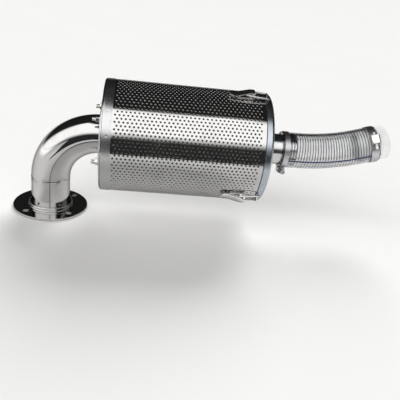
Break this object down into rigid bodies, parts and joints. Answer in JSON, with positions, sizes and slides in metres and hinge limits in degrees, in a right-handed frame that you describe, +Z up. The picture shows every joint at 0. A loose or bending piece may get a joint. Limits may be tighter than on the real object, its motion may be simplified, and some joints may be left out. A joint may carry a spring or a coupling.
{
  "type": "dust collector",
  "caption": "Round dust collector for a hopper dryer: flanged elbow inlet, perforated steel drum, latched lid and plugged clear hose.",
  "frame": {"origin": "centre of the inlet flange's lower face", "axes": "+Z up along the inlet pipe, +X along the drum's axis towards the lid and hose"},
  "size_m": [0.627, 0.1883, 0.2347],
  "materials": {
    "polished_steel": "mirror polished",
    "satin_steel": "satin",
    "latch_steel": "polished",
    "plated_steel": "plated",
    "filter_cloth": "felt",
    "black_rubber": "matte",
    "clear_hose": "clear with a steel spiral",
    "white_plastic": "smooth"
  },
  "bodies": {
    "collector": {"inlet_flange": "polished_steel", "inlet_pipe": "polished_steel", "elbow": "polished_steel", "elbow_plate": "polished_steel", "plate_bolts": "plated_steel", "plate_nuts": "plated_steel", "end_cap": "polished_steel", "drum_shell": "polished_steel", "filter_sleeve": "filter_cloth", "lid": "satin_steel", "lid_gasket": "black_rubber", "lid_stub": "satin_steel", "dust_hose": "clear_hose", "hose_plug": "white_plastic", "stub_clamp_band": "plated_steel", "stub_clamp_housing": "plated_steel", "stub_clamp_screw": "plated_steel", "plug_clamp_band": "plated_steel", "plug_clamp_housing": "plated_steel", "plug_clamp_screw": "plated_steel", "latch_base_1": "latch_steel", "latch_pin_1": "latch_steel", "latch_keeper_1": "latch_steel", "latch_base_2": "latch_steel", "latch_pin_2": "latch_steel", "latch_keeper_2": "latch_steel", "latch_base_3": "latch_steel", "latch_pin_3": "latch_steel", "latch_keeper_3": "latch_steel"},
    "lever_1": {"latch_lever_1": "latch_steel"},
    "bail_1": {"latch_bail_1": "latch_steel"},
    "lever_2": {"latch_lever_2": "latch_steel"},
    "bail_2": {"latch_bail_2": "latch_steel"},
    "lever_3": {"latch_lever_3": "latch_steel"},
    "bail_3": {"latch_bail_3": "latch_steel"}
  },
  "joints": [
    {"name": "lever_1_hinge", "type": "hinge", "parent": "collector", "child": "lever_1", "pos_m": [0.315, -0.02006, 0.22939], "axis": [0, 0.9781, 0.2079], "range_deg": [0, 110]},
    {"name": "bail_1_hinge", "type": "hinge", "parent": "lever_1", "child": "bail_1", "pos_m": [0.307, -0.02006, 0.22939], "axis": [0, 0.9781, 0.2079], "range_deg": [-110, 0]},
    {"name": "lever_2_hinge", "type": "hinge", "parent": "collector", "child": "lever_2", "pos_m": [0.315, -0.07171, 0.07043], "axis": [0, -0.6691, 0.7431], "range_deg": [0, 110]},
    {"name": "bail_2_hinge", "type": "hinge", "parent": "lever_2", "child": "bail_2", "pos_m": [0.307, -0.07171, 0.07043], "axis": [0, -0.6691, 0.7431], "range_deg": [-110, 0]},
    {"name": "lever_3_hinge", "type": "hinge", "parent": "collector", "child": "lever_3", "pos_m": [0.315, 0.09178, 0.10518], "axis": [0, -0.309, -0.9511], "range_deg": [0, 110]},
    {"name": "bail_3_hinge", "type": "hinge", "parent": "lever_3", "child": "bail_3", "pos_m": [0.307, 0.09178, 0.10518], "axis": [0, -0.309, -0.9511], "range_deg": [-110, 0]}
  ],
  "couplings": [
    {"joint": "bail_1_hinge", "follows": "lever_1_hinge", "ratio": -1},
    {"joint": "bail_2_hinge", "follows": "lever_2_hinge", "ratio": -1},
    {"joint": "bail_3_hinge", "follows": "lever_3_hinge", "ratio": -1}
  ]
}
